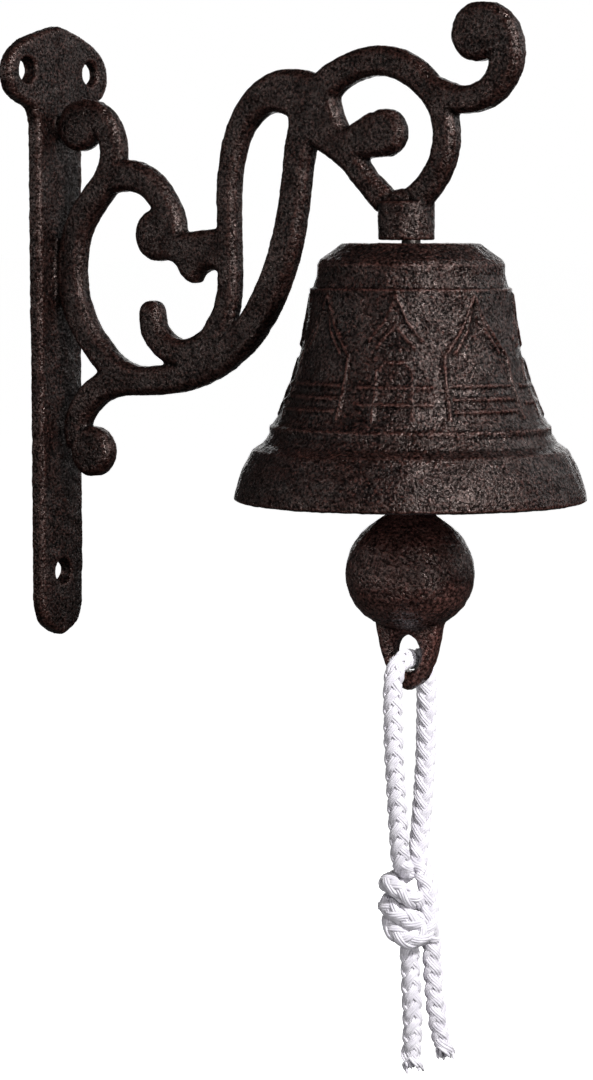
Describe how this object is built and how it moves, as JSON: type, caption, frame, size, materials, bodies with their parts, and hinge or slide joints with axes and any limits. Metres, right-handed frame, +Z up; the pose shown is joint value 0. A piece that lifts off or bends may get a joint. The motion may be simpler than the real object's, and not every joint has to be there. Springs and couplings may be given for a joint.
{
  "type": "wall mounted bell",
  "caption": "Cast-iron wall bell on a scroll bracket, rung by pulling a knotted cotton rope tied to its clapper.",
  "frame": {"origin": "on the back face of the wall plate, on the bracket's centre plane and midway between the levels of the plate's top hole pair and foot", "axes": "+X out of the wall towards the bell, +Y across the wall plate, +Z up"},
  "size_m": [0.1808, 0.1, 0.3053],
  "materials": {
    "bracket_iron": "sand cast, dark brown finish with rust-red specks and a dull sheen",
    "bell_iron": "sand cast, dark brown finish with reddish highlights on its relief",
    "clapper_iron": "sand cast, dark red-brown finish",
    "dark_steel": "dull darkened steel",
    "white_cotton": "braided cotton cord, slightly fuzzy, off-white"
  },
  "bodies": {
    "bracket": {"wall_plate": "bracket_iron", "scroll_big_loop": "bracket_iron", "scroll_tall_loop": "bracket_iron", "scroll_ring": "bracket_iron", "scroll_tip": "bracket_iron", "hanger_bolt": "dark_steel", "crown_washer": "dark_steel", "crown_nut": "dark_steel"},
    "bell": {"bell": "bell_iron"},
    "link": {"clapper_link": "dark_steel"},
    "clapper": {"clapper": "clapper_iron"},
    "rope": {"rope_strand_front": "white_cotton", "rope_strand_back": "white_cotton", "rope_knot": "white_cotton", "rope_tail_long": "white_cotton", "rope_tail_short": "white_cotton"}
  },
  "joints": [
    {"name": "bell_turn", "type": "hinge", "parent": "bracket", "child": "bell", "pos_m": [0.1308, 0, 0.0248], "axis": [0, 0, 1], "continuous": true},
    {"name": "link_sway", "type": "hinge", "parent": "bracket", "child": "link", "pos_m": [0.1308, 0, 0.0015], "axis": [1, 0, 0], "range_deg": [-10, 10]},
    {"name": "clapper_swing", "type": "hinge", "parent": "link", "child": "clapper", "pos_m": [0.1308, 0, -0.0072], "axis": [0, 1, 0], "range_deg": [-30, 30]},
    {"name": "rope_swing", "type": "hinge", "parent": "clapper", "child": "rope", "pos_m": [0.1308, 0, -0.0911], "axis": [0, -1, 0], "range_deg": [-30, 30]}
  ]
}
